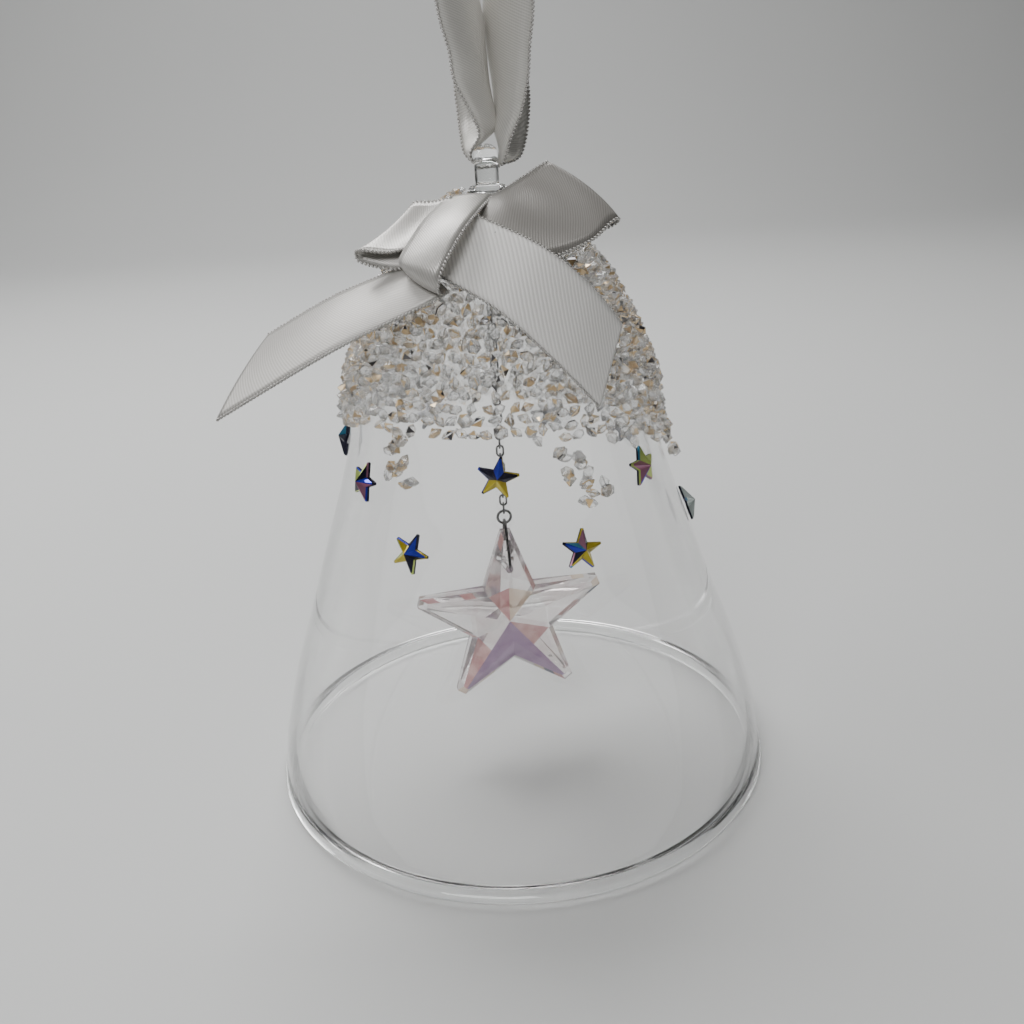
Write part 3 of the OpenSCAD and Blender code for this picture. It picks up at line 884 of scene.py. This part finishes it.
class Ribbon:
    """A woven strip through cross-sections.

    Each gives the front edge, the middle where it is bowed, and the back edge. cup bows a straight
    cross-section, by millimetres. fold is the share of the cloth that is turned under at the front edge.
    """

    def __init__(self, name, sections, steps=8, cup=0.0, ring=False, across=12, sides=None, fold=0.0):
        self.name, self.ring, self.across = name, ring, across
        fronts = smooth_line([e[0] for e in sections], steps, ring)
        backs = smooth_line([e[-1] for e in sections], steps, ring)
        middles = [e[1] if len(e) == 3 else (Vector(e[0]) + Vector(e[1])) / 2 for e in sections]
        middles = smooth_line(middles, steps, ring)
        self.rows, self.sides = [], sides or (SATIN, RIBBED)
        n = len(fronts)
        for i in range(n):
            along = middles[self.step(i, 1, n)] - middles[self.step(i, -1, n)]
            normal = along.cross(backs[i] - fronts[i]).normalized()
            row = []
            for k in range(across + 1):
                v = (k / across - fold) / (1 - fold)
                lift = cup * (1 - (2 * abs(v) - 1) ** 2)
                if v < 0:
                    v, lift = -v * (1 - fold), lift - 0.5 * min(1, -v * 8)
                bowed = fronts[i] * (1 - v) * (1 - 2 * v) + middles[i] * 4 * v * (1 - v)
                bowed += backs[i] * v * (2 * v - 1)
                row.append(bowed + lift * normal)
            self.rows.append(row)
        self.normals = [[self.normal_at(i, k) for k in range(across + 1)] for i in range(n)]

    def step(self, i, by, n):
        return (i + by) % n if self.ring else min(max(i + by, 0), n - 1)

    def normal_at(self, i, k):
        n, rows = len(self.rows), self.rows
        along = rows[self.step(i, 1, n)][k] - rows[self.step(i, -1, n)][k]
        row = rows[i]
        return along.cross(row[min(k + 1, self.across)] - row[max(k - 1, 0)]).normalized()

    def build(self, node, body="bell"):
        n, m = len(self.rows), self.across + 1
        points = []
        for sign in (1, -1):
            for row, normals in zip(self.rows, self.normals):
                points += [p + sign * RIBBON_T / 2 * normal for p, normal in zip(row, normals)]
        layer = n * m
        faces, kinds = [], []
        for i in range(n if self.ring else n - 1):
            j = (i + 1) % n
            for k in range(m - 1):
                quad = [i * m + k, i * m + k + 1, j * m + k + 1, j * m + k]
                faces += [quad, [layer + c for c in quad[::-1]]]
                kinds += [0, 1]
            for k in (0, m - 1):
                faces.append([i * m + k, j * m + k, layer + j * m + k, layer + i * m + k])
                kinds.append(0)
        if not self.ring:
            for i in (0, n - 1):
                for k in range(m - 1):
                    faces.append([i * m + k, i * m + k + 1, layer + i * m + k + 1, layer + i * m + k])
                    kinds.append(1)
        piece = new_piece(self.name, points, faces, list(self.sides), kinds)
        self.lay_uv(piece, n, m, layer)
        outward_normals(piece)
        edging = self.picot(node)
        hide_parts(node)
        for part in (piece, edging):
            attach(part, body)

    def lay_uv(self, piece, n, m, layer):
        uv = piece.data.uv_layers.new(name="weave")
        along, run = [], 0
        for i, row in enumerate(self.rows):
            if i:
                run += (row[m // 2] - self.rows[i - 1][m // 2]).length
            along.append(run)
        for face in piece.data.polygons:
            rows_used = [piece.data.loops[k].vertex_index % layer // m for k in face.loop_indices]
            wraps = self.ring and max(rows_used) - min(rows_used) > n / 2
            for k in face.loop_indices:
                v = piece.data.loops[k].vertex_index % layer
                u = along[v // m] + (run if wraps and v // m == 0 else 0)
                uv.data[k].uv = (u, v % m / (m - 1) * RIBBON_W)

    def picot(self, node):
        """The stitched edging: a row of small slanted stitches along both edges."""
        shape = Shape()
        pitch, size = 0.5, Vector((0.3, 0.17, 0.24))
        slant, overhang = 0.7, 0.09
        ball, ball_faces = [], []
        rings, sides = 4, 6
        for a in range(rings + 1):
            for b in range(sides):
                t, s = math.pi * a / rings, 2 * math.pi * b / sides
                level = Vector((math.cos(t), math.sin(t) * math.cos(s), math.sin(t) * math.sin(s)))
                ball.append(size * level)
        for a in range(rings):
            for b in range(sides):
                c = (b + 1) % sides
                ball_faces.append([a * sides + b, a * sides + c, (a + 1) * sides + c, (a + 1) * sides + b])
        n = len(self.rows)
        for end in (0, self.across):
            left = 0.0
            for i in range(n if self.ring else n - 1):
                row, ahead, normal = self.rows[i], self.rows[(i + 1) % n], self.normals[i][end]
                start, run = row[end], ahead[end] - row[end]
                if run.length < 1e-6:
                    continue
                out = (row[end] - row[1 if end == 0 else end - 1]).normalized()
                x = (run.normalized() + slant * out).normalized()
                z = normal
                turn = Matrix((x, z.cross(x).normalized(), z)).transposed()
                while left < run.length:
                    place = start + run.normalized() * left + overhang * out
                    shape.add([place + turn @ p for p in ball], ball_faces)
                    left += pitch
                left -= run.length
        edging = shape.piece(self.name + "_edging", [PICOT], smooth=True)
        uv = edging.data.uv_layers.new(name="weave")
        for loop in edging.data.loops:
            p = edging.data.vertices[loop.vertex_index].co / MM
            uv.data[loop.index].uv = (p.x + p.z, p.y)
        return edging


HANGING = [
    ((-1, -5.2, 127.4), (-1, 0, 127.4), (-1, 5.2, 127.4)), ((-4.2, -5, 124), (-3.6, 0, 124), (-3.2, 5, 124)),
    ((-5, -4.8, 116), (-1.4, -0.4, 116), (-1.4, 4.4, 116)),
    ((-4.6, -4.8, 108.8), (0.4, -0.6, 108.6), (-1.4, 4.2, 108.8)),
    ((-3.6, -4.6, 104.2), (0.8, -0.4, 104), (-2.8, 4.4, 104.2)),
    ((-3.2, -3.8, 100.6), (1, 0, 100.2), (-3.4, 4.4, 100.4)),
    ((-1.4, -2.6, 96.6), (1.5, 0.4, 96.2), (-3.2, 3.8, 96.2)),
    ((-0.6, -1.4, 94), (1.1, 0.4, 94.2), (-3, 2.2, 93.8)),
    ((-2, -0.9, 91.6), (-1.9, 0, 91.8), (-2.6, 0.9, 91.6)),
    ((-0.9, -0.7, 90), (-0.9, 0, 90.1), (-0.9, 0.7, 90)),
    ((0.9, -0.7, 90), (0.9, 0, 90.1), (0.9, 0.7, 90)), ((2.2, -1.1, 90.4), (2, 0, 91.8), (4, 2.2, 90.4)),
    ((3.4, -2, 93.6), (1.4, 0.6, 94.4), (5.2, 3.2, 92.2)), ((4.8, -3, 96.6), (1.6, 1, 96.6), (6, 4.2, 96.2)),
    ((5.8, -3.8, 100.4), (1.4, 1.4, 100.4), (6, 4.8, 100)),
    ((6.2, -4.4, 104.2), (1, 1.6, 104.6), (4.6, 4.8, 104.4)),
    ((6.8, -4.8, 108.6), (1, 1.8, 109), (3.6, 5, 108.8)), ((7, -4.8, 116), (2.6, 0.8, 116), (3.4, 5, 116)),
    ((6.2, -5, 124), (5.4, 0, 124), (5.2, 5, 124)), ((3, -5.2, 127.4), (3, 0, 127.4), (3, 5.2, 127.4)),
]
LEFT_TAIL = [
    ((-5.6, -14.6, 76.8), (-10.6, -8.8, 79.8)), ((-8.2, -16.6, 75.8), (-12.2, -10.4, 79)),
    ((-20.4, -18.2, 71), (-20.6, -9.8, 76)), ((-35.5, -19, 63.4), (-29.5, -9.6, 71.6)),
]
RIGHT_TAIL = [
    ((-8, -12.4, 79.4), (-3.2, -7.6, 85.2)), ((-6, -14.2, 78.4), (-0.6, -9.6, 84.4)),
    ((0.6, -18.4, 74.8), (6.4, -13.6, 81.2)), ((7.4, -20.8, 68.4), (12, -14.4, 76.4)),
    ((12.3, -20.6, 62.6), (16, -13.4, 71)),
]
LEFT_LOOP = [
    ((-8.6, -11.4, 82.4), (-4.8, -5.2, 86.8)), ((-12.6, -11, 81.4), (-7.2, -4.8, 86.4)),
    ((-16.4, -10.6, 81.8), (-9.4, -4.4, 86.4)),
    ((-17, -10, 81.2), (-10, -4, 85.8)), ((-16.4, -10, 80.2), (-9.6, -3.8, 85)),
    ((-13, -11, 79.4), (-8.6, -5, 84.6)),
    ((-9.4, -11.2, 79.4), (-6, -5.4, 84.4)),
]
RIGHT_LOOP = [
    ((0.6, -11.2, 83), (-1, -8.4, 84.4), (-1.2, -5.2, 86.6)),
    ((5.8, -13, 80), (2.6, -9, 85), (1.4, -4.4, 87)),
    ((12, -12.4, 81.4), (9.2, -8.4, 85.6), (4.8, -4.4, 88.8)),
    ((15.2, -10.4, 83.4), (11.8, -7, 87.6), (7.4, -4.2, 90.2)),
    ((16.2, -9.6, 83.6), (13.4, -7, 86.4), (8, -4, 90.2)),
    ((15.2, -8.8, 82.6), (11.6, -6.4, 85.4), (7.6, -3.6, 89.2)),
    ((10.2, -9.8, 81.4), (7.6, -6.8, 84), (4.8, -4, 87.2)),
    ((5.6, -10, 81.4), (4.2, -7, 83.8), (3, -4.6, 86.4)),
]
KNOT = [
    ((-6, -4.8, 86.4), (0.6, -4.4, 86.8)), ((-8.6, -8.4, 84.5), (-2.9, -12.2, 84.2)),
    ((-11.3, -12.4, 81.3), (-5.8, -16.4, 80.4)), ((-11.5, -12.8, 80.2), (-6.8, -17, 77.6)),
    ((-10.8, -11.6, 79.6), (-6.4, -15.6, 76.6)),
]

# The hanging strands wear the lighter copy of the satin: painted light
hanging = Ribbon("ribbon_hanging", HANGING, ring=True, sides=(LIT_SATIN, LIT_SATIN))
hanging.build("hanging_ribbon", "ribbon_loop")
Ribbon("ribbon_left_tail", LEFT_TAIL, steps=14, cup=-0.4, sides=(RIBBED, SATIN)).build("bow_left_tail")
Ribbon("ribbon_right_tail", RIGHT_TAIL, steps=12, sides=(RIBBED, SATIN)).build("bow_right_tail")
Ribbon("ribbon_left_loop", LEFT_LOOP, cup=0.5, sides=(SATIN, SATIN)).build("bow_left_loop")
# The right loop wears the darker copy of the satin: painted shade
Ribbon("ribbon_right_loop", RIGHT_LOOP, sides=(SHADED, SHADED)).build("bow_right_loop")
Ribbon("ribbon_knot", KNOT, cup=0.5, fold=0.3).build("bow_knot")

# ---------------------------------------------------------------- stage and light

# The tent's brightest direction, and its light from the side opposite that to that side
TENT_AXIS = (-0.45, 0.6, 0.6)
TENT_LIGHT = [
    (0.1, (0.1, 0.1, 0.1)), (0.35, (0.22, 0.22, 0.22)), (0.7, (0.26, 0.26, 0.26)), (0.86, (0.78, 0.78, 0.79)),
    (1.0, (1.0, 1.0, 1.0)),
]
TENT_STRENGTH = 0.48


def make_stage():
    """A pale floor that sweeps up behind the bell."""
    material, nodes, links, shader = new_material("pale_floor", Roughness=0.6)
    pale = [(0.3, (0.57, 0.575, 0.57)), (0.7, (0.6, 0.605, 0.595))]
    links.new(colour_ramp(nodes, links, noise(nodes, links, 3), pale), shader.inputs["Base Color"])
    depth, rise, width = 500, 260, 2400
    profile = [(-900, 0), (depth, 0)]
    profile += [(depth + rise * math.sin(a), rise * (1 - math.cos(a))) for a in around(6, 91, 6)]
    profile += [(depth + rise, 1800)]
    points = [(x, y, z) for y, z in profile for x in (-width, width)]
    faces = [[2 * i, 2 * i + 1, 2 * i + 3, 2 * i + 2] for i in range(len(profile) - 1)]
    floor = new_piece("floor", points, faces, [material])


def add_light(name, place, aim, size, power, colour=(1, 1, 1)):
    data = bpy.data.lights.new(name, "AREA")
    data.shape, data.size, data.size_y = "RECTANGLE", size[0] * MM, size[1] * MM
    data.energy, data.color = power, colour
    light = bpy.data.objects.new(name, data)
    bpy.context.collection.objects.link(light)
    light.location = Vector(place) * MM
    light.rotation_euler = (Vector(aim) - Vector(place)).to_track_quat("-Z", "Y").to_euler()


def make_world():
    """A light tent: bright above, behind and to the left, dark at its open front."""
    world = bpy.data.worlds.new("light_tent")
    bpy.context.scene.world = world
    world.use_nodes = True
    nodes, links = world.node_tree.nodes, world.node_tree.links
    place = nodes.new("ShaderNodeTexCoord")
    side = nodes.new("ShaderNodeVectorMath")
    side.operation = "DOT_PRODUCT"
    side.inputs[1].default_value = Vector(TENT_AXIS).normalized()
    links.new(place.outputs["Generated"], side.inputs[0])
    spread = add_node(nodes, "ShaderNodeMapRange", From_Min=-1.0)
    links.new(side.outputs["Value"], spread.inputs["Value"])
    ramp = colour_ramp(nodes, links, spread.outputs["Result"], TENT_LIGHT)
    links.new(ramp, nodes["Background"].inputs["Color"])
    nodes["Background"].inputs["Strength"].default_value = TENT_STRENGTH


make_stage()
make_world()
add_light("window", (-420, 60, 430), (0, 60, 40), (360, 360), 0.9)
add_light("overhead", (-80, 230, 460), (-80, 260, 0), (360, 220), 2.9)
add_light("fill", (-130, -400, 520), (0, 0, 60), (300, 200), 1.6)
